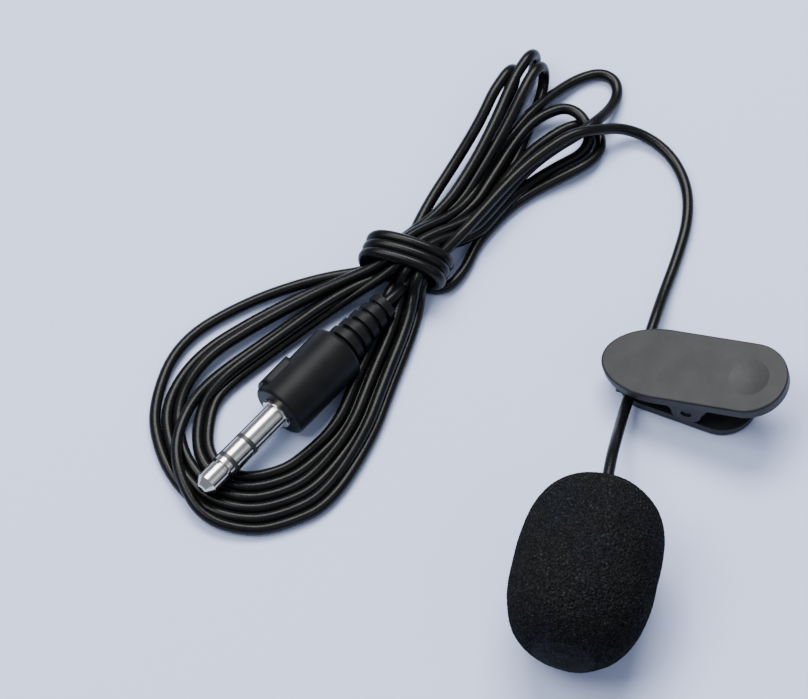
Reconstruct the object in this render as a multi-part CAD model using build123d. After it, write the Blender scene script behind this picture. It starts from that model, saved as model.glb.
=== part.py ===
from build123d import *
import os
from math import cos, radians, sin, tan

# A wired lavalier microphone lying on a table: a capsule in a foam windscreen, a thin lead that
# runs through a spring clip, a tied hank of lead, and a 3.5 mm three-pole plug.
# Millimetres. +Z is up and the table is z = 0. The clip's fingers point to +X, turned a little to
# -Y, and the microphone head lies towards -Y. Pieces are laid out on a plan, then all moved so that
# the origin is under the middle of the microphone head and its clip.

os.makedirs("parts", exist_ok=True)

# ---------------------------------------------------------------- driving dimensions
CABLE_R = 0.775            # lead, 1.55 mm over its jacket
CORE_R = 0.28              # one insulated conductor
FIT_GAP = 0.02             # radial gap between pieces that are assembled and don't move
THROUGH = 30.0             # length of a cut that goes right through a piece
LAYOUT_MIDDLE = (0.8, 1.1) # middle of the head and clip on the layout plan

# microphone head
MIC_HEADING = 255.6        # plan direction of the free end of the head
MIC_CENTRE = (-7.93, -11.15)
FOAM_R = 9.4
FOAM_LENGTH = 25.6
FOAM_FULLNESS_FRONT = 2.65 # superellipse power of the free half
FOAM_FULLNESS_REAR = 2.75
SLIDE_GAP = 0.05           # foam bore over the housing
HOUSING_R = 4.0
HOUSING_WALL = 0.7
HOUSING_LENGTH = 15.0
HOUSING_REAR = -12.0       # from the middle of the foam, along the head
CAP_T = 1.2
GROMMET_R = 1.4
CAPSULE_R = 3.0
CAPSULE_LENGTH = 2.7
CAN_WALL = 0.2

# clip
CLIP_HEADING = -17.8       # plan direction of the finger ends, square to the lead
CLIP_TIP = (-4.95, 23.05)  # jaw tip of the upper lever, in plan
UPPER_LENGTH = 25.6
UPPER_HALF_WIDTH = 5.3
UPPER_NOSE = 8.5
UPPER_T = 1.6
UPPER_TILT = 13.5          # how much the closed upper lever rises towards the fingers
UPPER_TIP_TOP = 4.5
LOWER_START = 2.6
LOWER_END = 21.5
LOWER_JAW_HALF_WIDTH = 4.2
LOWER_FINGER_HALF_WIDTH = 4.9
LOWER_NOSE = 4.5
LOWER_T = 1.6
JAW_PLANE = 2.3            # height at which the jaws meet, and of the lead between them
JAW_GAP = 0.2
JAW_START = 3.0
JAW_END = 8.2
GRIP_SPOTS = (3.6, 6.6, 7.4)
GRIP_HALF_WIDTH = 2.4
JAW_HALF_WIDTH = 3.3
GROOVE_AT = 5.0            # where the lead crosses the jaws
GROOVE_R = 0.92
PIVOT_AT = 13.0
PIVOT_HEIGHT = 3.9
PIN_R = 0.7
PIN_LENGTH = 9.4
UPPER_EAR = (4.0, 5.0)     # inner and outer distance from the clip's middle plane
LOWER_EAR = (2.9, 3.8)
EAR_R = 2.0
DIMPLE_R = 2.7
DIMPLE_DEPTH = 0.2
WIRE_R = 0.25
SPRING_R = 1.35
SPRING_TURNS = 4

# plug, its local +Z towards the tip and z = 0 at the front face of the overmould
PLUG_HEADING = 229.0
PLUG_FACE = (-47.6, 14.6)
PLUG_R = 1.75
PLUG_AXIS_HEIGHT = 4.0
BODY_R = 4.0
BODY_LENGTH = 12.2
PANEL = (-6.0, -1.0)       # the raised grip panel, along the plug
PANEL_RISE = 0.5
PANEL_HALF_WIDTH = 3.0
CUP_R = 3.0                # inner mould
CUP = (-9.48, -0.42)
RELIEF_LENGTH = 9.0
RELIEF_RIBS = 5
FLANGE_R = 2.25
FLANGE_END = 0.6
REAR_INSULATOR = (6.0, 6.7)
FRONT_INSULATOR = (9.5, 10.2)
COLLAR_END = 10.9
TIP_END = 15.1
ROD_R = 0.5                # rod and tubes inside the shaft, each in the next one
RING_BORE = 0.8
REAR_BORE = 1.1
SLEEVE_BORE = 1.35
SOLDER_SPOTS = ((0.0, -4.7), (1.35, -3.6), (-1.95, -2.2))

# hank
STRAND_TOP = 1.55          # one layer of lead
RAIL_TOP = 2.9             # two layers
FAN_TOP = 3.9
KNOT_TOP = 7.4

# route of the free lead, corner by corner: out of the head, down, through the clip, round to the hank
LEAD_ROUTE = [
    (-5.05, 0.09, 9.4),
    (-4.06, 3.94, 9.4),
    (-3.40, 7.20, 7.4),
    (-3.00, 9.80, 4.8),
    (-2.70, 12.10, 3.0),
    (-2.30, 14.96, 2.3),
    (2.11, 28.70, 2.3),
    (3.70, 34.00, 1.1),
    (5.60, 39.30, 0.8),
    (7.40, 45.60, 0.8),
    (7.30, 51.40, 0.8),
    (4.60, 56.70, 0.8),
    (-0.50, 59.80, 1.1),
    (-6.10, 58.10, 3.1),
]


def heading(angle):
    return Vector(cos(radians(angle)), sin(radians(angle)), 0)


def standing(position, height, angle):
    """A frame whose Z lies flat along the heading, with its own Y pointing up."""
    side = Vector(0, 0, 1).cross(heading(angle))
    origin = (position[0], position[1], height)
    return Plane(origin=origin, x_dir=side, z_dir=heading(angle)).location


MIC_PLACE = standing(MIC_CENTRE, FOAM_R, MIC_HEADING)
PLUG_PLACE = standing(PLUG_FACE, PLUG_AXIS_HEIGHT, PLUG_HEADING)
CLIP_PLACE = Location((CLIP_TIP[0], CLIP_TIP[1], 0), (0, 0, CLIP_HEADING))

parts = {}


def disc(radius, low, high):
    return Pos(0, 0, low) * Cylinder(radius, high - low, align=(Align.CENTER, Align.CENTER, Align.MIN))


def ring(outer, inner, low, high):
    return disc(outer, low, high) - disc(inner, low - 1, high + 1)


def turned(points):
    """A solid of revolution about Z from (radius, z) corners."""
    outline = make_face(Polyline([(r, 0, z) for r, z in points], close=True))
    return revolve(outline, Axis.Z)


def wire_through(points, radius, bend):
    path = FilletPolyline(*points, radius=bend)
    start = Plane(origin=path @ 0, z_dir=path % 0)
    return sweep(start * Circle(radius), path=path)


# ---------------------------------------------------------------- microphone head
def foam_point(angle):
    """A point on the windscreen's outline, angle -90 at the lead end and 90 at the free end."""
    power = FOAM_FULLNESS_FRONT if angle > 0 else FOAM_FULLNESS_REAR
    along = FOAM_LENGTH / 2 * abs(sin(radians(angle))) ** (2 / power)
    radius = FOAM_R * cos(radians(angle)) ** (2 / power)
    return (radius, 0, along if angle > 0 else -along)


def windscreen():
    half = FOAM_LENGTH / 2
    inner_points = [foam_point(angle) for angle in range(-80, 90, 10)]
    skin = Spline([(0, 0, -half)] + inner_points + [(0, 0, half)], tangents=[(1, 0, 0), (-1, 0, 0)])
    body = revolve(make_face([skin, Line((0, 0, half), (0, 0, -half))]), Axis.Z)
    bore_end = HOUSING_REAR + HOUSING_LENGTH + 0.3
    return body - disc(HOUSING_R + SLIDE_GAP, -half - 1, bore_end)


def housing_tube():
    inner = HOUSING_R - HOUSING_WALL
    tube = ring(HOUSING_R, inner, 0, HOUSING_LENGTH)
    return chamfer(tube.edges().filter_by(GeomType.CIRCLE).sort_by(Axis.Z)[-1], 0.15)


def rear_cap():
    outer = HOUSING_R - HOUSING_WALL - FIT_GAP
    return ring(outer, GROMMET_R + FIT_GAP, 0, CAP_T)


def grommet():
    """A rubber bush: a lip inside the cap, a neck through it and a short nose outside."""
    outline = [(CABLE_R + FIT_GAP, -1.3), (1.15, -1.3), (GROMMET_R, -0.9), (GROMMET_R, CAP_T + FIT_GAP),
               (2.0, CAP_T + FIT_GAP), (2.0, CAP_T + 0.7), (CABLE_R + FIT_GAP, CAP_T + 0.7)]
    return turned(outline)


def grille(low):
    """A perforated metal disc: one hole in the middle and two rings of holes."""
    plate = disc(HOUSING_R - HOUSING_WALL - FIT_GAP, low, low + 0.4)
    hole = disc(0.28, low - 1, low + 1)
    spots = [Pos(0, 0, 0)] + list(PolarLocations(1.2, 6)) + list(PolarLocations(2.35, 12))
    for spot in spots:
        plate -= spot * hole
    return plate


def capsule(front):
    """The electret capsule, front face at the given station, as its separate pieces."""
    back = front - CAPSULE_LENGTH
    inside = CAPSULE_R - CAN_WALL
    loose = inside - FIT_GAP
    can = disc(CAPSULE_R, back, front) - disc(inside, back - 1, front - CAN_WALL)
    can -= disc(1.1, back, front + 1)
    film = front - CAN_WALL - 0.05
    diaphragm = ring(loose, 2.3, film - 0.25, film) + disc(2.35, film - 0.25, film - 0.2)
    spacer = ring(loose, 2.3, film - 0.4, film - 0.27)
    plate = disc(2.6, film - 0.75, film - 0.42)
    for spot in PolarLocations(1.5, 6):
        plate -= spot * disc(0.22, film - 1, film)
    board = disc(loose, back + 0.05, back + 0.45)
    holder = ring(loose, 2.15, back + 0.47, film - 0.77)
    amplifier = Pos(0, 0, back + 0.47 + 0.25) * Box(1.5, 1.1, 0.5)
    gasket = ring(HOUSING_R - HOUSING_WALL - FIT_GAP, CAPSULE_R + FIT_GAP, back + 0.3, front - 0.2)
    joint = Pos(0, 0, back - 0.15) * Cone(0.2, 0.42, 0.36)
    solder = Part() + [Pos(x, 0, 0) * joint for x in (-1.1, 1.1)]
    return {
        "capsule_can": can,
        "capsule_diaphragm": diaphragm,
        "capsule_spacer": spacer,
        "capsule_backplate": plate,
        "capsule_board": board,
        "capsule_holder": holder,
        "capsule_amplifier": amplifier,
        "capsule_gasket": gasket,
        "capsule_solder": solder,
    }


def mic_cores(low, high):
    """Two conductors that spread from the end of the lead to the capsule's solder points."""
    straight = 2.5
    cores = []
    for near, far in ((-0.33, -1.1), (0.33, 1.1)):
        points = [(near, 0, low), (near, 0, low + straight), (far, 0, high - straight), (far, 0, high)]
        cores.append(wire_through(points, CORE_R, 2.0))
    return Part() + cores


def microphone_head():
    front = HOUSING_LENGTH - 1.4
    inside = {
        "mic_housing": housing_tube(),
        "mic_rear_cap": rear_cap(),
        "mic_grommet": grommet(),
        "mic_grille": grille(HOUSING_LENGTH - 0.55),
        "mic_felt": disc(HOUSING_R - HOUSING_WALL - 0.1, front + 0.1, HOUSING_LENGTH - 0.6),
        "mic_cores": mic_cores(0.45, front - CAPSULE_LENGTH - 0.4),
    }
    inside.update(capsule(front))
    head = {name: Pos(0, 0, HOUSING_REAR) * piece for name, piece in inside.items()}
    head["foam_windscreen"] = windscreen()
    for name, piece in head.items():
        parts[name] = MIC_PLACE * piece


# ---------------------------------------------------------------- clip
# Local frame: x from the jaw tip towards the fingers, y across, z up from the table.
def lever_face(start, nose, jaw_half, finger_half, end):
    """Plan of a lever: a half-elliptic nose, straight sides and a round finger end."""
    shoulder = start + nose
    centre = end - finger_half
    edges = [
        EllipticalCenterArc((shoulder, 0), nose, jaw_half, start_angle=90, arc_size=180),
        Line((shoulder, -jaw_half), (centre, -finger_half)),
        CenterArc((centre, 0), finger_half, -90, 180),
        Line((centre, finger_half), (shoulder, jaw_half)),
    ]
    return make_face(edges)


def across(face, inner, outer):
    """The same plate on both sides of the clip, drawn in x and z."""
    upright = Plane.XZ * face
    one = extrude(upright, outer - inner, dir=(0, -1, 0))
    return [Pos(0, -inner, 0) * one, Pos(0, outer, 0) * one]


def ear_face(radius, foot):
    """A lug: a disc round the pivot and a foot that widens to two points inside the lever."""
    lug = Pos(PIVOT_AT, PIVOT_HEIGHT) * Circle(radius)
    waist = radius * 0.95
    neck = [(PIVOT_AT - waist, PIVOT_HEIGHT), (PIVOT_AT + waist, PIVOT_HEIGHT)]
    return lug + make_face(Polyline(neck + foot, close=True))


def cross_bore(station, height, radius):
    return Pos(station, 0, height) * Rot(90, 0, 0) * Cylinder(radius, THROUGH)


def grip_lines(height):
    """Sharp furrows across the jaw faces, on both sides of the lead's groove."""
    furrow = Rot(0, 45, 0) * Box(0.42, 2 * GRIP_HALF_WIDTH, 0.42)
    return [Pos(x, 0, height) * furrow for x in GRIP_SPOTS]


def upper_underside(x):
    """Height of the upper lever's underside in the closed clip."""
    slope = tan(radians(UPPER_TILT))
    return UPPER_TIP_TOP + slope * x - UPPER_T / cos(radians(UPPER_TILT))


def upper_lever():
    tilt = Pos(0, 0, UPPER_TIP_TOP) * Rot(0, -UPPER_TILT, 0)
    outline = lever_face(0, UPPER_NOSE, UPPER_HALF_WIDTH, UPPER_HALF_WIDTH, UPPER_LENGTH)
    plate = extrude(outline, -UPPER_T)
    rim = plate.faces().sort_by(Axis.Z)[-1].edges()
    plate = fillet(rim, 0.3)
    dish_r = (DIMPLE_R**2 + DIMPLE_DEPTH**2) / (2 * DIMPLE_DEPTH)
    dish_at = UPPER_LENGTH - UPPER_HALF_WIDTH + 0.1
    plate -= Pos(dish_at, 0, dish_r - DIMPLE_DEPTH) * Sphere(dish_r)
    lever = tilt * plate
    jaw_low = JAW_PLANE + JAW_GAP / 2
    sunk = 0.4
    jaw = make_face(Polyline([
        (JAW_START, jaw_low),
        (JAW_END, jaw_low),
        (JAW_END, upper_underside(JAW_END) + sunk),
        (JAW_START, upper_underside(JAW_START) + sunk),
    ], close=True))
    block = Pos(0, JAW_HALF_WIDTH, 0) * extrude(Plane.XZ * jaw, 2 * JAW_HALF_WIDTH, dir=(0, -1, 0))
    foot = [(x, upper_underside(x) + sunk) for x in (PIVOT_AT + 3.2, PIVOT_AT - 3.2)]
    lever = lever + block + across(ear_face(EAR_R, foot), *UPPER_EAR)
    for furrow in grip_lines(jaw_low):
        lever -= furrow
    turning_gap = 0.06
    lever -= cross_bore(PIVOT_AT, PIVOT_HEIGHT, PIN_R + turning_gap)
    return lever - cross_bore(GROOVE_AT, JAW_PLANE, GROOVE_R)


def lower_lever():
    outline = lever_face(LOWER_START, LOWER_NOSE, LOWER_JAW_HALF_WIDTH, LOWER_FINGER_HALF_WIDTH, LOWER_END)
    plate = extrude(outline, LOWER_T)
    plate = fillet(plate.faces().sort_by(Axis.Z)[0].edges(), 0.3)
    jaw_high = JAW_PLANE - JAW_GAP / 2
    sunk = 0.2
    pad_size = (JAW_END - JAW_START, 2 * JAW_HALF_WIDTH, jaw_high - LOWER_T + sunk)
    pad = Pos(JAW_START, 0, LOWER_T - sunk) * Box(*pad_size, align=(Align.MIN, Align.CENTER, Align.MIN))
    foot = [(PIVOT_AT + 2.4, LOWER_T - sunk), (PIVOT_AT - 2.4, LOWER_T - sunk)]
    lever = plate + pad + across(ear_face(EAR_R - 0.2, foot), *LOWER_EAR)
    for furrow in grip_lines(jaw_high):
        lever -= furrow
    lever -= cross_bore(PIVOT_AT, PIVOT_HEIGHT, PIN_R + FIT_GAP)
    return lever - cross_bore(GROOVE_AT, JAW_PLANE, GROOVE_R)


def clip_pin():
    pin = Pos(PIVOT_AT, 0, PIVOT_HEIGHT) * Rot(90, 0, 0) * Cylinder(PIN_R, PIN_LENGTH)
    return chamfer(pin.edges().filter_by(GeomType.CIRCLE), 0.12)


def clip_spring():
    """A torsion spring round the pin, one leg on the lower lever and one under the upper lever."""
    pitch = 2 * WIRE_R + 0.08
    width = pitch * SPRING_TURNS
    helix = Helix(pitch, width, SPRING_R)
    section = Plane(origin=helix @ 0, z_dir=helix % 0) * Circle(WIRE_R)
    coil = sweep(section, path=helix, is_frenet=True)
    coil = Pos(PIVOT_AT, width / 2, PIVOT_HEIGHT) * Rot(90, 0, 0) * Rot(0, 0, -90) * coil
    leg_end = PIVOT_AT + 5.5
    lower_reach = LOWER_T + WIRE_R + 0.03
    upper_reach = upper_underside(leg_end) - WIRE_R / cos(radians(UPPER_TILT)) - 0.06
    lower_leg = spring_leg(leg_end, width / 2, PIVOT_HEIGHT - SPRING_R, lower_reach)
    upper_leg = spring_leg(leg_end, -width / 2, PIVOT_HEIGHT + SPRING_R, upper_reach)
    return coil + lower_leg + upper_leg


def spring_leg(leg_end, side, near_height, far_height):
    start = Vector(PIVOT_AT - 0.1, side, near_height)
    end = Vector(leg_end, side, far_height)
    return sweep(Plane(origin=start, z_dir=end - start) * Circle(WIRE_R), path=Line(start, end))


def clip():
    pieces = {
        "clip_upper_lever": upper_lever(),
        "clip_lower_lever": lower_lever(),
        "clip_pin": clip_pin(),
        "clip_spring": clip_spring(),
    }
    for name, piece in pieces.items():
        parts[name] = CLIP_PLACE * piece


# ---------------------------------------------------------------- plug
def plug_tip():
    """Collar, groove, cylinder and blunt cone, on a rod that runs back through the plug."""
    groove_r = 1.4
    head_r = 1.62
    outline = [
        (0, -4.0), (ROD_R, -4.0), (ROD_R, FRONT_INSULATOR[1]), (PLUG_R, FRONT_INSULATOR[1]),
        (PLUG_R, COLLAR_END), (groove_r, COLLAR_END + 0.15), (groove_r, COLLAR_END + 0.35),
        (head_r, COLLAR_END + 0.5), (head_r, TIP_END - 1.1), (0.85, TIP_END - 0.15),
        (0.6, TIP_END), (0, TIP_END),
    ]
    return turned(outline)


def stepped_sleeve(outer, span, bore, tube_r, back):
    """A flush band of the shaft on a thin tube that runs back inside the next one."""
    band = ring(outer, bore + FIT_GAP, span[0], span[1])
    return band + ring(tube_r, bore + FIT_GAP, back, span[0] + 0.1)


def plug_ring():
    """The middle contact, with a solder collar at its back end."""
    span = (REAR_INSULATOR[1], FRONT_INSULATOR[0])
    back = -2.4
    collar = ring(1.7, RING_BORE + FIT_GAP, back - 0.7, back)
    return stepped_sleeve(PLUG_R, span, RING_BORE, REAR_BORE, back) + collar


def plug_sleeve():
    """The rear contact: shaft, grooved flange against the overmould, and an anchor inside it."""
    bore = SLEEVE_BORE + FIT_GAP
    shaft = ring(PLUG_R, bore, -1.6, REAR_INSULATOR[0])
    groove_at = FLANGE_END / 2
    flange = turned([
        (bore, 0.02), (FLANGE_R, 0.02), (FLANGE_R, groove_at - 0.05), (FLANGE_R - 0.08, groove_at),
        (FLANGE_R, groove_at + 0.05), (FLANGE_R, FLANGE_END - 0.08), (FLANGE_R - 0.08, FLANGE_END),
        (bore, FLANGE_END),
    ])
    return shaft + flange + ring(2.4, bore, -1.6, -0.9)


def grip_panel(rise, margin):
    """The panel on one side of the grip, concentric with it."""
    length = PANEL[1] - PANEL[0] + 2 * margin
    width = 2 * (PANEL_HALF_WIDTH + margin)
    block = Pos(-BODY_R, 0, sum(PANEL) / 2) * Box(BODY_R, width, length)
    block = fillet(block.edges().filter_by(Axis.X), 0.8)
    return block & disc(BODY_R + rise, PANEL[0] - margin, PANEL[1] + margin)


def plug_overmould():
    """Moulded grip with a raised panel on one side and a ribbed, tapering strain relief."""
    grip = disc(BODY_R, -BODY_LENGTH, 0)
    ends = grip.edges().filter_by(GeomType.CIRCLE).sort_by(Axis.Z)
    grip = fillet([ends[-1]], 0.45)
    ends = grip.edges().filter_by(GeomType.CIRCLE).sort_by(Axis.Z)
    grip = fillet([ends[0]], 0.7)
    grip += grip_panel(PANEL_RISE, 0)
    rear = -BODY_LENGTH - RELIEF_LENGTH
    core = Cone(1.5, 2.2, RELIEF_LENGTH + 0.5, align=(Align.CENTER, Align.CENTER, Align.MIN))
    grip += Pos(0, 0, rear) * core
    step = RELIEF_LENGTH / RELIEF_RIBS
    for rib in range(RELIEF_RIBS):
        back = rear + rib * step
        grip += disc(1.95 + 0.2 * rib, back, back + 0.6 * step)
    cavity = disc(CUP_R + FIT_GAP, CUP[0] - FIT_GAP, CUP[1] + FIT_GAP)
    throat = disc(PLUG_R + FIT_GAP, CUP[1], THROUGH)
    lead_hole = disc(CABLE_R + FIT_GAP, rear - 1, CUP[0])
    return grip - cavity - throat - lead_hole


def inner_mould():
    """The stiff cup that holds the terminals before the grip is moulded over it."""
    floor = CUP[0] + 0.88
    return disc(CUP_R, *CUP) - disc(2.45, floor, 0) - disc(CABLE_R + FIT_GAP, CUP[0] - 1, floor + 1)


def plug_cores():
    """One conductor straight to the tip's rod and one bent out to each of the other two contacts."""
    start = -8.5
    cores = [disc(CORE_R, start, SOLDER_SPOTS[0][1])]
    for (far, end), near in zip(SOLDER_SPOTS[1:], (0.75, -0.75)):
        points = [(near, 0, start), (near, 0, start + 1), (far, 0, -5.5), (far, 0, end)]
        cores.append(wire_through(points, CORE_R, 0.8))
    return Part() + cores


def plug_solder():
    """A blob at the end of each conductor, its radius and length."""
    sizes = ((0.42, 0.68), (0.34, 0.48), (0.34, 0.58))
    blobs = []
    for (x, end), (radius, length) in zip(SOLDER_SPOTS, sizes):
        blobs.append(Pos(x, 0, 0) * disc(radius, end + FIT_GAP, end + length))
    return Part() + blobs


def plug():
    pieces = {
        "plug_tip": plug_tip(),
        "plug_insulator_front": stepped_sleeve(PLUG_R, FRONT_INSULATOR, ROD_R, RING_BORE, -2.6),
        "plug_ring": plug_ring(),
        "plug_insulator_rear": stepped_sleeve(PLUG_R, REAR_INSULATOR, REAR_BORE, SLEEVE_BORE, -1.9),
        "plug_sleeve": plug_sleeve(),
        "plug_overmould": plug_overmould(),
        "plug_inner_mould": inner_mould(),
        "plug_cores": plug_cores(),
        "plug_solder": plug_solder(),
    }
    for name, piece in pieces.items():
        parts[name] = PLUG_PLACE * piece


# ---------------------------------------------------------------- lead and hank
def corner_radii(route):
    """Each arc is as large as its two runs allow."""
    radii = []
    for before, corner, after in zip(route, route[1:], route[2:]):
        run_in = Vector(corner) - Vector(before)
        run_out = Vector(after) - Vector(corner)
        half_turn = radians(run_in.get_angle(run_out)) / 2
        radii.append(0.45 * min(run_in.length, run_out.length) / tan(half_turn))
    return radii


def cable_lead():
    path = FilletPolyline(*LEAD_ROUTE, radius=corner_radii(LEAD_ROUTE))
    return sweep(Plane(origin=path @ 0, z_dir=path % 0) * Circle(CABLE_R), path=path)


def cable_tail():
    """The straight end of the lead inside the plug's strain relief."""
    overhang = 0.8
    return disc(CABLE_R, -BODY_LENGTH - RELIEF_LENGTH - overhang, CUP[0] + 0.86)


def plan(points, height):
    """A flat solid whose smooth outline runs through the points."""
    return extrude(make_face(Spline(points, periodic=True)), height)


def cable_hank():
    """Outer shape of the tied hank: a flat ring round the plug, a thick neck and an open fan."""
    ring_outer = [
        (-36.6, 38.4), (-45.0, 35.8), (-53.2, 32.8), (-61.2, 26.2), (-64.6, 16.8), (-62.8, 8.0),
        (-57.6, 1.6), (-51.0, -1.5), (-42.0, 1.4), (-36.5, 8.4), (-33.0, 17.4), (-29.7, 26.0),
        (-27.0, 33.0),
    ]
    ring_inner = [
        (-38.6, 29.2), (-45.2, 27.0), (-50.8, 22.8), (-54.8, 17.6), (-55.7, 12.3), (-54.4, 8.9),
        (-51.4, 7.4), (-46.0, 9.3), (-42.3, 12.6), (-39.1, 19.0), (-36.0, 26.0),
    ]
    rail = [
        (-26.6, 34.0), (-29.6, 26.2), (-33.0, 17.6), (-36.4, 9.4), (-38.3, 11.0), (-37.0, 18.6),
        (-34.4, 27.0), (-32.6, 34.0),
    ]
    knot = [
        (-36.4, 38.6), (-34.6, 41.2), (-31.0, 41.4), (-26.0, 38.6), (-24.6, 35.8), (-26.6, 32.8),
        (-30.4, 33.4), (-34.2, 35.8),
    ]
    fan = [
        (-33.0, 39.0), (-30.0, 43.0), (-27.4, 48.8), (-23.4, 56.6), (-19.8, 63.4), (-15.4, 70.4),
        (-12.6, 70.9), (-11.0, 68.4), (-7.6, 68.6), (-3.6, 68.6), (-1.4, 65.6), (-2.8, 61.6),
        (-3.8, 57.4), (-5.0, 53.4), (-10.0, 50.2), (-15.6, 46.8), (-19.0, 42.8), (-21.4, 37.4),
        (-24.6, 33.2), (-29.0, 33.4),
    ]
    hank = plan(ring_outer, STRAND_TOP) - plan(ring_inner, STRAND_TOP)
    hank = hank + plan(rail, RAIL_TOP) + plan(fan, FAN_TOP) + plan(knot, KNOT_TOP)
    gap = 0.15
    body_room = disc(BODY_R + gap, -BODY_LENGTH - gap, gap)
    relief_room = disc(3.0, -BODY_LENGTH - RELIEF_LENGTH + 1.0, -BODY_LENGTH)
    return hank - PLUG_PLACE * (body_room + relief_room + grip_panel(PANEL_RISE + gap, gap))


def cord():
    parts["cable_lead"] = cable_lead()
    parts["cable_hank"] = cable_hank()
    parts["cable_tail"] = PLUG_PLACE * cable_tail()


microphone_head()
clip()
plug()
cord()
to_origin = Pos(-LAYOUT_MIDDLE[0], -LAYOUT_MIDDLE[1], 0)
for name, piece in parts.items():
    export_step(to_origin * piece, f"parts/{name}.step")
print(len(parts), "parts")
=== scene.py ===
from math import cos, pi, radians, sin

import bpy
import numpy as np
from mathutils import Matrix, Vector, noise


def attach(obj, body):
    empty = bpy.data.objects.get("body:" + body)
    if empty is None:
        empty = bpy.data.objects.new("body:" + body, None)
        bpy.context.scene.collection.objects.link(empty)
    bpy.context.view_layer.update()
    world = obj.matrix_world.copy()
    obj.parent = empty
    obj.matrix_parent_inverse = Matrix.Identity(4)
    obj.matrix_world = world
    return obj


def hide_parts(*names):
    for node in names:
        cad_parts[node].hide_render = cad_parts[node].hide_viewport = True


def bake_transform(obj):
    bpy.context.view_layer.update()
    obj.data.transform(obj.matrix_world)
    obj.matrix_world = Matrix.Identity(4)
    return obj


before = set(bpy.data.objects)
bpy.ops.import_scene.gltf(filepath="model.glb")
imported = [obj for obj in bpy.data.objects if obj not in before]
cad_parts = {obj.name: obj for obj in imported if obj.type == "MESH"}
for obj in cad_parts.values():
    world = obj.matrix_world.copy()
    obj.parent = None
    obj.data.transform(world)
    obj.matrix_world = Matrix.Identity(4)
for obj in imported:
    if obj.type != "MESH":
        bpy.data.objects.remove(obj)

# A wired lavalier microphone on a table. Lists of points are in millimetres and are scaled by MM.
MM = 0.001
# middle of the box round the head and clip, taken off every point
LAYOUT_MIDDLE = Vector((0.8, 1.1, 0.0))
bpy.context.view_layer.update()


def millimetres(points):
    return [(Vector(point) - LAYOUT_MIDDLE) * MM for point in points]


def layout_point(x, y, z):
    return millimetres([(x, y, z)])[0]


# ---------------------------------------------------------------- camera
CAMERA_TARGET = layout_point(-31.1, 26.0, 0.0)
CAMERA_DISTANCE = 0.600
CAMERA_ELEVATION = radians(62)
CAMERA_LENS = 200.5
CAMERA_SENSOR = 36
CAMERA_NEAR = 0.01


def make_camera():
    data = bpy.data.cameras.new("camera")
    data.lens = CAMERA_LENS
    data.sensor_width = CAMERA_SENSOR
    data.clip_start = CAMERA_NEAR
    camera = bpy.data.objects.new("camera", data)
    bpy.context.collection.objects.link(camera)
    back = Vector((0, -cos(CAMERA_ELEVATION), sin(CAMERA_ELEVATION)))
    camera.location = CAMERA_TARGET + back * CAMERA_DISTANCE
    camera.rotation_euler = (pi / 2 - CAMERA_ELEVATION, 0, 0)
    bpy.context.scene.camera = camera


make_camera()

# ---------------------------------------------------------------- cord
CABLE_D = 1.55

# free lead: out of the head, down to the clip, through it, and round to the hank
LEAD = [
    (-5.2, 0.1, 9.4), (-4.4, 4.8, 9.0), (-3.5, 9.0, 6.9), (-2.8, 12.3, 4.4), (-2.2, 15.0, 2.7),
    (-1.6, 17.1, 2.3), (2.11, 28.7, 2.3), (3.7, 34.0, 1.1), (5.6, 39.3, 0.8), (7.4, 45.6, 0.8),
    (7.3, 51.4, 0.8), (4.6, 56.7, 0.8), (-0.5, 59.5, 1.6), (-5.8, 57.2, 4.7),
]
# over the fan and down to the knot
LEAD_TO_KNOT = [
    (-8.5, 56.2, 5.2), (-11.5, 54.2, 4.9), (-15.2, 51.2, 4.4), (-18.0, 48.0, 4.4),
    (-21.0, 44.0, 4.7), (-23.5, 40.8, 4.9),
]

# The ring round the plug, clockwise from the knot. Each station has its outer end, its inner end,
# the lane of each turn, counted from 0 at the outer end to 5 at the inner one, and their heights.
ABREAST = (0, 1, 2, 3, 4, 5)
LAST_LANE = 5
FLAT = (0.8,) * 6
RING = [
    ((-29.0, 32.4), (-33.2, 33.4), ABREAST, (1.0, 2.6) * 3),
    ((-29.9, 28.2), (-34.3, 28.3), ABREAST, (0.8, 2.2) * 3),
    ((-32.8, 20.0), (-37.5, 20.4), ABREAST, (0.8, 2.1) * 3),
    ((-35.3, 12.2), (-39.8, 13.7), ABREAST, (0.8, 1.9) * 3),
    ((-40.7, 2.6), (-44.5, 9.3), ABREAST, (0.8, 1.0) * 3),
    ((-46.5, -0.3), (-47.2, 7.5), ABREAST, FLAT),
    ((-51.2, -1.3), (-51.6, 6.4), ABREAST, FLAT),
    # here the first turn climbs over three others and drops in between them and the last two
    ((-57.3, 0.2), (-54.7, 7.6), ABREAST, (1.4, 0.8, 0.8, 0.8, 0.8, 0.8)),
    ((-62.0, 4.5), (-56.2, 9.2), (1.3, 1, 2, 3, 4, 5), (2.3, 0.8, 0.8, 0.8, 0.8, 0.8)),
    ((-63.4, 10.6), (-57.1, 11.9), (1.7, 0, 1.2, 2.3, 3.9, 5), (2.3, 0.8, 0.8, 0.8, 0.8, 0.8)),
    ((-64.4, 17.0), (-56.4, 17.3), (3.2, 0, 1, 2, 4.1, 5), (1.8, 0.8, 0.8, 0.8, 0.9, 0.8)),
    # and here the turns spread out, then close up towards the knot
    ((-61.3, 26.6), (-54.3, 20.2), (3.9, 0, 1.7, 2.4, 4.5, 5), (1.0, 0.8, 0.8, 1.7, 2.0, 0.8)),
    ((-52.5, 32.6), (-48.9, 24.8), (3.9, 0, 1.7, 2.4, 4.5, 5), (0.9, 0.8, 0.8, 1.7, 2.0, 0.8)),
    ((-42.6, 36.1), (-39.4, 32.3), (3.3, 0, 1.4, 2.5, 4.2, 5), (1.3, 1.4, 1.2, 2.6, 2.7, 1.4)),
]
LANE_BACK = (3, 0, 1, 2, 4, 5)    # lane of each turn on its way back into the knot

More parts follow.
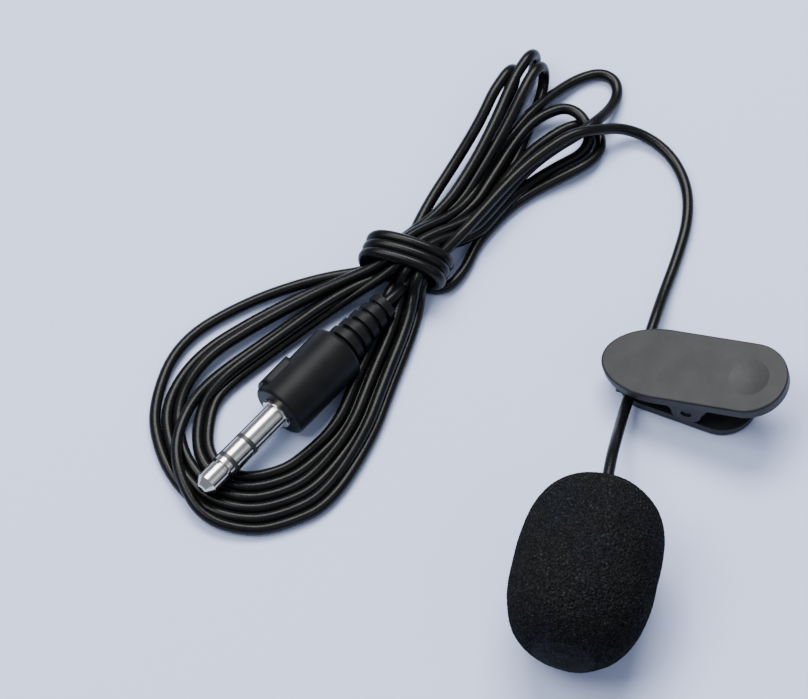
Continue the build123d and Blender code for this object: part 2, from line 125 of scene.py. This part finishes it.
# an upright fold's upper half, up to its tip: along, share of its spread, and drop from its top
FOLD_HALF = [(-5.4, 0.0, 0.0), (-3.0, 0.05, 0.0), (-1.1, 0.2, 0.0), (0.2, 0.4, 1.3)]
FOLD_TOP = 5.3
FOLD_BOTTOM = 0.8


def fold(tip, heading, spread):
    """The lead folded back on itself: out on top, over at the tip, and back below and to one side."""
    out = [(along, share, FOLD_TOP - drop) for along, share, drop in FOLD_HALF]
    back = [(along, 1 - share, FOLD_BOTTOM + drop) for along, share, drop in reversed(FOLD_HALF)]
    flow = (cos(radians(heading)), sin(radians(heading)))
    points = []
    for along, share, height in out + back:
        x = tip[0] + flow[0] * along + flow[1] * spread * share
        y = tip[1] + flow[1] * along - flow[0] * spread * share
        points.append((x, y, height))
    return points


# the six loops of the fan, each from the knot out and back to it
FAN = [
    [
        (-28.0, 46.7, 2.4), (-24.2, 53.0, 3.0), (-20.8, 58.6, 4.6),
        *fold((-16.4, 67.4), 61, 1.0),
        (-20.5, 56.0, 0.8), (-23.8, 49.5, 0.8), (-25.7, 46.0, 0.9),
    ],
    [
        (-26.0, 44.8, 4.0), (-22.0, 51.4, 4.4), (-18.8, 58.0, 5.2),
        *fold((-13.6, 69.8), 62, 1.0),
        (-16.6, 61.5, 0.8), (-19.7, 54.5, 0.8), (-23.8, 46.3, 0.9),
    ],
    [
        (-24.3, 45.4, 3.0), (-20.6, 51.7, 3.6), (-17.3, 57.7, 4.4),
        *fold((-12.9, 67.9), 68, 1.8),
        (-14.8, 57.6, 0.8), (-16.7, 53.0, 0.8), (-21.5, 46.0, 0.9),
    ],
    [
        (-22.8, 45.6, 3.0), (-19.6, 53.4, 2.6), (-16.4, 57.8, 2.6), (-13.5, 61.7, 2.4),
        (-10.0, 65.4, 1.4), (-7.0, 67.8, 0.8), (-4.0, 68.7, 0.8), (-2.0, 67.5, 0.8),
        (-1.7, 65.0, 0.8), (-3.0, 62.2, 1.6), (-5.0, 59.3, 3.4), (-7.3, 57.2, 3.7),
        (-10.4, 55.5, 3.0), (-13.6, 53.0, 2.7), (-16.5, 49.5, 2.9), (-19.2, 45.8, 3.2),
        (-22.0, 42.4, 3.1),
    ],
    [
        (-22.2, 45.5, 2.6), (-19.0, 51.4, 2.3), (-16.4, 56.2, 2.2), (-14.0, 59.6, 2.2),
        (-11.6, 61.4, 2.2), (-9.1, 62.3, 2.2), (-7.2, 61.4, 2.2), (-6.0, 59.3, 2.2),
        (-5.8, 57.3, 1.4), (-7.0, 55.6, 0.8), (-10.0, 53.9, 0.8), (-13.4, 51.4, 1.1),
        (-16.5, 48.5, 1.7), (-19.0, 45.4, 1.9), (-21.3, 42.4, 1.8),
    ],
    [
        (-20.7, 44.5, 3.2), (-17.8, 50.4, 2.2), (-14.2, 55.5, 1.3), (-11.2, 58.4, 0.8),
        (-8.4, 60.2, 0.8), (-6.0, 60.5, 0.8), (-4.4, 59.0, 0.8), (-4.2, 56.8, 0.8),
        (-5.2, 54.7, 1.2), (-7.4, 52.9, 1.6), (-10.6, 51.3, 1.2), (-14.0, 49.5, 0.8),
        (-16.8, 47.3, 0.8), (-19.2, 44.5, 0.8),
    ],
]
# the right-hand loop from the last of the fan to the wraps
TO_WRAPS = [
    (-21.3, 41.7, 0.8), (-22.9, 37.7, 0.8), (-25.1, 34.9, 0.8), (-27.7, 34.7, 0.8), (-29.9, 36.0, 0.8),
]
# from the last wrap, under the bundle, towards the strain relief: across, along, height
DIVE = [(3.8, 1.4, 1.0), (2.6, 0.2, 0.8), (1.9, -1.3, 1.6), (1.4, -3.1, 3.0)]

KNOT = (-30.8, 37.4)
KNOT_FLOW = radians(68)        # plan direction of the strands inside the knot
KNOT_HALF = 2.4                # from the middle of the knot to a strand's points on its way down
KNOT_DOWN_SHIFT = (0.5, -0.3)  # how far such a strand lies to the side of its lane, going in and out
KNOT_UP_ALONG = (-2.0, 2.6)    # the two points of a strand on its way up
KNOT_UP_SHIFT = 0.6            # to the side at the second of them
KNOT_HALF_WIDTH = 3.3
KNOT_LANE = 0.57
KNOT_ROWS = (2.4, 3.75, 5.1)
WRAP_HALF_WIDTH = 5.5
WRAP_END_R = 3.1
WRAP_FLARE = 1.6
WRAP_MIDDLE = 3.95
WRAP_START = -2.2
WRAP_PITCH = 1.4
WRAP_STEPS = 12
WRAPS = 3

PLUG_FACE = (-47.6, 14.6)
PLUG_HEADING = radians(229)
PLUG_AXIS_HEIGHT = 4.0
TAIL_STATIONS = (23.0, 20.4, 15.0, 9.5)


def in_knot(across, along, height):
    x = KNOT[0] + sin(KNOT_FLOW) * across + cos(KNOT_FLOW) * along
    y = KNOT[1] - cos(KNOT_FLOW) * across + sin(KNOT_FLOW) * along
    return (x, y, height)


def ring_turn(turn):
    points = []
    for outer, inner, lanes, heights in RING:
        share = lanes[turn] / LAST_LANE
        x = outer[0] + (inner[0] - outer[0]) * share
        y = outer[1] + (inner[1] - outer[1]) * share
        points.append((x, y, heights[turn]))
    return points


def hank_turns():
    """Six turns: down through the knot, round the ring, up through the knot, out in the fan."""
    route = []
    for turn, loop in enumerate(FAN):
        across = KNOT_HALF_WIDTH - KNOT_LANE * turn
        height = KNOT_ROWS[(turn + 1) % len(KNOT_ROWS)]
        route.append(in_knot(across + KNOT_DOWN_SHIFT[0], KNOT_HALF, height))
        route.append(in_knot(across + KNOT_DOWN_SHIFT[1], -KNOT_HALF, height))
        route += ring_turn(turn)
        across = KNOT_LANE * LANE_BACK[turn] - KNOT_HALF_WIDTH
        height = KNOT_ROWS[LANE_BACK[turn] % len(KNOT_ROWS)]
        route.append(in_knot(across, KNOT_UP_ALONG[0], height))
        route.append(in_knot(across + KNOT_UP_SHIFT, KNOT_UP_ALONG[1], height))
        route += loop
    return route


def knot_wraps():
    """The lead wound round the bundle, starting under it: flat over the strands, round at the sides."""
    route = []
    for step in range(1, WRAPS * WRAP_STEPS - 1):
        angle = -pi / 2 - 2 * pi * step / WRAP_STEPS
        side = max(-1, min(1, WRAP_FLARE * cos(angle)))
        across = (WRAP_HALF_WIDTH - WRAP_END_R) * side + WRAP_END_R * cos(angle)
        along = WRAP_START + WRAP_PITCH * step / WRAP_STEPS
        route.append(in_knot(across, along, WRAP_MIDDLE + WRAP_END_R * sin(angle)))
    return route + [in_knot(*point) for point in DIVE]


def tail():
    """The end of the lead inside the plug's strain relief."""
    route = []
    for station in TAIL_STATIONS:
        x = PLUG_FACE[0] - cos(PLUG_HEADING) * station
        y = PLUG_FACE[1] - sin(PLUG_HEADING) * station
        route.append((x, y, PLUG_AXIS_HEIGHT))
    return route


def make_cord():
    route = millimetres(LEAD + LEAD_TO_KNOT + hank_turns() + TO_WRAPS + knot_wraps() + tail())
    curve = bpy.data.curves.new("cable", "CURVE")
    curve.dimensions = "3D"
    # the bevel is in millimetres and each point's radius scales it, so the curve's box fits the lead
    curve.bevel_depth = CABLE_D / 2
    curve.bevel_resolution = 5
    curve.use_fill_caps = True
    line = curve.splines.new("NURBS")
    line.points.add(len(route) - 1)
    for point, spot in zip(line.points, route):
        point.co = (*spot, 1)
        point.radius = MM
    line.order_u = 3
    line.use_endpoint_u = True
    line.resolution_u = 8
    cable = bpy.data.objects.new("cable", curve)
    bpy.context.collection.objects.link(cable)
    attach(cable, "root")
    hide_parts("cable_lead", "cable_hank", "cable_tail")
    return cable


cable = make_cord()


# ---------------------------------------------------------------- materials
# nearly all of a noise field's values lie between these
NOISE_LOW = 0.3
NOISE_HIGH = 0.7


def new_material(name):
    material = bpy.data.materials.new(name)
    material.use_nodes = True
    return material, material.node_tree.nodes["Principled BSDF"]


def link(material, source, socket):
    material.node_tree.links.new(source, socket)


def object_coordinates(material):
    return material.node_tree.nodes.new("ShaderNodeTexCoord").outputs["Object"]


def noise_field(material, place, size, detail=4.0, roughness=0.55):
    """Noise with features of the given size in millimetres."""
    field = material.node_tree.nodes.new("ShaderNodeTexNoise")
    field.inputs["Scale"].default_value = 1 / (size * MM)
    field.inputs["Detail"].default_value = detail
    field.inputs["Roughness"].default_value = roughness
    link(material, place, field.inputs["Vector"])
    return field.outputs["Fac"]


def ramp(material, value, stops):
    node = material.node_tree.nodes.new("ShaderNodeValToRGB")
    elements = node.color_ramp.elements
    while len(elements) < len(stops):
        elements.new(0.5)
    for element, (position, colour) in zip(elements, stops):
        element.position = position
        element.color = (*colour, 1)
    link(material, value, node.inputs["Fac"])
    return node.outputs["Color"]


def spread(material, value, low, high):
    node = material.node_tree.nodes.new("ShaderNodeMapRange")
    node.inputs["From Min"].default_value = NOISE_LOW
    node.inputs["From Max"].default_value = NOISE_HIGH
    node.inputs["To Min"].default_value = low
    node.inputs["To Max"].default_value = high
    link(material, value, node.inputs["Value"])
    return node.outputs["Result"]


def bump(material, height, depth):
    """Bump with the given depth in millimetres."""
    node = material.node_tree.nodes.new("ShaderNodeBump")
    node.inputs["Distance"].default_value = depth * MM
    node.inputs["Strength"].default_value = 1.0
    link(material, height, node.inputs["Height"])
    return node.outputs["Normal"]


def moulded(name, dark, light, rough, mottle, grain, depth, metallic=0.0, specular=0.5):
    """A surface with slow colour changes, uneven gloss and a fine grain. Sizes are in millimetres."""
    material, shader = new_material(name)
    place = object_coordinates(material)
    cloud = noise_field(material, place, mottle)
    fine = noise_field(material, place, grain, detail=6.0, roughness=0.65)
    colour = ramp(material, cloud, [(NOISE_LOW, dark), (NOISE_HIGH, light)])
    link(material, colour, shader.inputs["Base Color"])
    link(material, spread(material, fine, *rough), shader.inputs["Roughness"])
    link(material, bump(material, fine, depth), shader.inputs["Normal"])
    shader.inputs["Metallic"].default_value = metallic
    shader.inputs["Specular IOR Level"].default_value = specular
    return material


def grey(value, tint=(1.0, 1.0, 1.0)):
    return tuple(value * part for part in tint)


COOL = (0.96, 1.0, 1.05)
WARM = (1.04, 1.0, 0.93)
FOAM_SHADE_CELL = 0.34


def multiply(material, first, second):
    node = material.node_tree.nodes.new("ShaderNodeMix")
    node.data_type = "RGBA"
    node.blend_type = "MULTIPLY"
    node.inputs["Factor"].default_value = 1.0
    link(material, first, node.inputs["A"])
    link(material, second, node.inputs["B"])
    return node.outputs["Result"]


def foam_material():
    """Open-cell foam: near black, with painted light on the struts and painted shade in the pores, and a
    blue cast in patches.
    """
    material, shader = new_material("foam_open_cell")
    nodes = material.node_tree.nodes
    place = object_coordinates(material)
    cells = nodes.new("ShaderNodeTexVoronoi")
    cells.inputs["Scale"].default_value = 1 / (FOAM_SHADE_CELL * MM)
    link(material, place, cells.inputs["Vector"])
    # painted shade: darker in the middle of each cell; painted light: paler towards the cell edges, the
    # struts
    strut_light_and_pore_shade = ramp(material, cells.outputs["Distance"], [(0.15, grey(0.0015)), (0.75, grey(0.009, COOL))])
    patches = noise_field(material, place, 7.0)
    cast = ramp(material, patches, [(0.45, grey(1.0)), (0.75, (0.85, 0.97, 1.35))])
    grit = noise_field(material, place, 0.22, detail=2.0)
    speck = ramp(material, grit, [(0.58, grey(1.0)), (0.68, grey(4.5, WARM))])
    tinted = multiply(material, multiply(material, strut_light_and_pore_shade, cast), speck)
    link(material, tinted, shader.inputs["Base Color"])
    grain = noise_field(material, place, 0.12, detail=5.0)
    link(material, bump(material, grain, 0.05), shader.inputs["Normal"])
    shader.inputs["Roughness"].default_value = 0.92
    shader.inputs["Specular IOR Level"].default_value = 0.1
    return material


METAL = {"metallic": 1.0}
MATERIALS = {
    "foam": foam_material(),
    "housing_plastic": moulded("housing_plastic", grey(0.012), grey(0.022), (0.38, 0.5), 4.0, 0.15, 0.010),
    "rubber_black": moulded("rubber_black", grey(0.010), grey(0.020), (0.6, 0.75), 2.0, 0.1, 0.015),
    "grille_metal": moulded("grille_metal", grey(0.30), grey(0.42), (0.28, 0.4), 2.0, 0.08, 0.004, **METAL),
    "felt": moulded("felt", grey(0.012), grey(0.035), (0.9, 1.0), 0.5, 0.08, 0.060),
    "capsule_metal": moulded(
        "capsule_metal", grey(0.55, WARM), grey(0.68, WARM), (0.2, 0.32), 2.0, 0.1, 0.003, **METAL
    ),
    "capsule_plastic": moulded(
        "capsule_plastic", grey(0.55, WARM), grey(0.66, WARM), (0.4, 0.5), 2.0, 0.1, 0.006
    ),
    "film": moulded("film", grey(0.50, WARM), grey(0.62, WARM), (0.15, 0.22), 1.5, 0.2, 0.002, **METAL),
    "board": moulded("board", (0.01, 0.09, 0.035), (0.015, 0.13, 0.05), (0.3, 0.42), 1.0, 0.12, 0.004),
    "chip": moulded("chip", grey(0.018), grey(0.028), (0.4, 0.55), 0.8, 0.06, 0.004),
    "solder": moulded("solder", grey(0.60), grey(0.72), (0.18, 0.3), 0.6, 0.1, 0.005, **METAL),
    "core_insulation": moulded(
        "core_insulation", (0.32, 0.02, 0.015), (0.42, 0.03, 0.02), (0.35, 0.48), 1.0, 0.1, 0.005
    ),
    "clip_plastic": moulded(
        "clip_plastic", grey(0.006, COOL), grey(0.015, COOL), (0.44, 0.56), 3.2, 0.13, 0.012, specular=0.3
    ),
    "spring_steel": moulded(
        "spring_steel", grey(0.42, WARM), grey(0.55, WARM), (0.22, 0.34), 1.0, 0.08, 0.004, **METAL
    ),
    "pin_steel": moulded("pin_steel", grey(0.04), grey(0.06), (0.3, 0.42), 1.0, 0.08, 0.003, **METAL),
    "nickel": moulded("nickel", grey(0.50, WARM), grey(0.58, WARM), (0.14, 0.22), 3.0, 0.1, 0.002, **METAL),
    "insulator": moulded("insulator", grey(0.014), grey(0.022), (0.35, 0.45), 1.0, 0.08, 0.004),
    "plug_plastic": moulded(
        "plug_plastic", grey(0.004, COOL), grey(0.008, COOL), (0.40, 0.50), 3.0, 0.14, 0.012, specular=0.12
    ),
    "inner_plastic": moulded(
        "inner_plastic", grey(0.45, WARM), grey(0.55, WARM), (0.4, 0.5), 2.0, 0.1, 0.006
    ),
    "cable_jacket": moulded(
        "cable_jacket", grey(0.0025), grey(0.005), (0.24, 0.33), 2.5, 0.25, 0.010, specular=0.16
    ),
}


def dress_cad_nodes():
    """Every node that stays gets the material of its slot."""
    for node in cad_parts.values():
        for holder in node.material_slots:
            if holder.material is None:
                continue
            slot = holder.material.name.split(".")[0]
            if slot in MATERIALS:
                holder.material = MATERIALS[slot]


dress_cad_nodes()
cable.data.materials.append(MATERIALS["cable_jacket"])


# ---------------------------------------------------------------- foam windscreen
FOAM_VOXEL = 0.13
FOAM_CELL = 0.42
FOAM_PIT = 0.22
MIC_CENTRE = layout_point(-7.93, -11.15, 9.4)
MIC_HEADING = radians(255.6)
FOAM_BORE = 4.05
FOAM_BORE_MARGIN = 0.15     # the bore's wall stays smooth
FOAM_EDGE = 2.2             # how steeply a pit's side falls
FOAM_WAVE = 0.12            # slow unevenness, and its size
FOAM_WAVE_SIZE = 4
FOAM_SWELL = 0.02


def settle_modifiers(piece):
    """Replace the mesh with its evaluated result."""
    evaluated = piece.evaluated_get(bpy.context.evaluated_depsgraph_get())
    mesh = bpy.data.meshes.new_from_object(evaluated)
    piece.modifiers.clear()
    piece.data = mesh


def make_foam():
    """The windscreen as a fine mesh with its outside pitted into open cells."""
    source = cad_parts["foam_windscreen"]
    piece = bpy.data.objects.new("windscreen_foam", source.data.copy())
    bpy.context.collection.objects.link(piece)
    remesh = piece.modifiers.new("remesh", "REMESH")
    remesh.mode = "VOXEL"
    remesh.voxel_size = FOAM_VOXEL * MM * 1
    settle_modifiers(piece)
    mesh = piece.data
    count = len(mesh.vertices)
    where = np.empty(count * 3)
    mesh.vertices.foreach_get("co", where)
    where = where.reshape(-1, 3)
    normal = np.empty(count * 3)
    mesh.vertex_normals.foreach_get("vector", normal)
    axis = np.array((cos(MIC_HEADING), sin(MIC_HEADING), 0))
    offset = where - np.array(MIC_CENTRE)
    radial = offset - np.outer(offset @ axis, axis)
    outside = np.linalg.norm(radial, axis=1) > (FOAM_BORE + FOAM_BORE_MARGIN) * MM
    sink = np.zeros(count)
    for index in np.nonzero(outside)[0]:
        spot = Vector(where[index])
        distances, _ = noise.voronoi(spot / (FOAM_CELL * MM))
        pit = min(1.0, FOAM_EDGE * (distances[1] - distances[0]))
        wave = noise.noise(spot / (FOAM_WAVE_SIZE * MM)) * FOAM_WAVE
        sink[index] = FOAM_PIT * pit - wave - FOAM_SWELL
    where -= normal.reshape(-1, 3) * sink[:, None] * MM
    mesh.vertices.foreach_set("co", where.ravel())
    mesh.update()
    mesh.materials.clear()
    mesh.materials.append(MATERIALS["foam"])
    mesh.polygons.foreach_set("use_smooth", [True] * len(mesh.polygons))
    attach(piece, "windscreen")
    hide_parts("foam_windscreen")


make_foam()


def make_spring():
    """A copy of the clip's spring in spring steel, with its placement baked into the mesh."""
    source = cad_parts["clip_spring"]
    piece = bpy.data.objects.new("torsion_spring", source.data.copy())
    bpy.context.collection.objects.link(piece)
    piece.data.materials.clear()
    piece.data.materials.append(MATERIALS["spring_steel"])
    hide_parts("clip_spring")
    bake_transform(piece)


make_spring()


# ---------------------------------------------------------------- floor and light
FLOOR_HALF = 3.0
FLOOR_DROP = 0.0001
FLOOR_COLOUR = (0.60, 0.68, 0.95, 1)
WORLD_COLOUR = (0.75, 0.82, 1.0, 1)
WORLD_STRENGTH = 0.45
# name, place and size in metres, and power in watts
SOFTBOXES = [
    ("back", (-0.05, 0.55, 0.85), (0.7, 0.4), 14),
    ("key", (-0.45, 0.0, 0.8), (0.5, 0.5), 6),
    ("fill", (0.5, -0.4, 0.8), (0.6, 0.5), 1),
]


def make_floor():
    mesh = bpy.data.meshes.new("floor")
    corners = [(FLOOR_HALF * x, FLOOR_HALF * y, 0) for x, y in ((-1, -1), (1, -1), (1, 1), (-1, 1))]
    mesh.from_pydata(corners, [], [(0, 1, 2, 3)])
    floor = bpy.data.objects.new("floor", mesh)
    floor.location.z = -FLOOR_DROP
    bpy.context.collection.objects.link(floor)
    material, shader = new_material("floor")
    shader.inputs["Base Color"].default_value = FLOOR_COLOUR
    shader.inputs["Roughness"].default_value = 0.7
    mesh.materials.append(material)


def make_softbox(name, place, size, power):
    """A rectangular lamp aimed at the middle of the view."""
    data = bpy.data.lights.new(name, "AREA")
    data.shape = "RECTANGLE"
    data.size = size[0]
    data.size_y = size[1]
    data.energy = power
    lamp = bpy.data.objects.new(name, data)
    lamp.location = place
    lamp.rotation_euler = (CAMERA_TARGET - Vector(place)).to_track_quat("-Z", "Y").to_euler()
    bpy.context.collection.objects.link(lamp)


def make_world():
    world = bpy.data.worlds.new("studio")
    world.use_nodes = True
    background = world.node_tree.nodes["Background"]
    background.inputs["Color"].default_value = WORLD_COLOUR
    background.inputs["Strength"].default_value = WORLD_STRENGTH
    bpy.context.scene.world = world


make_floor()
make_world()
for box in SOFTBOXES:
    make_softbox(*box)

bpy.context.view_layer.update()
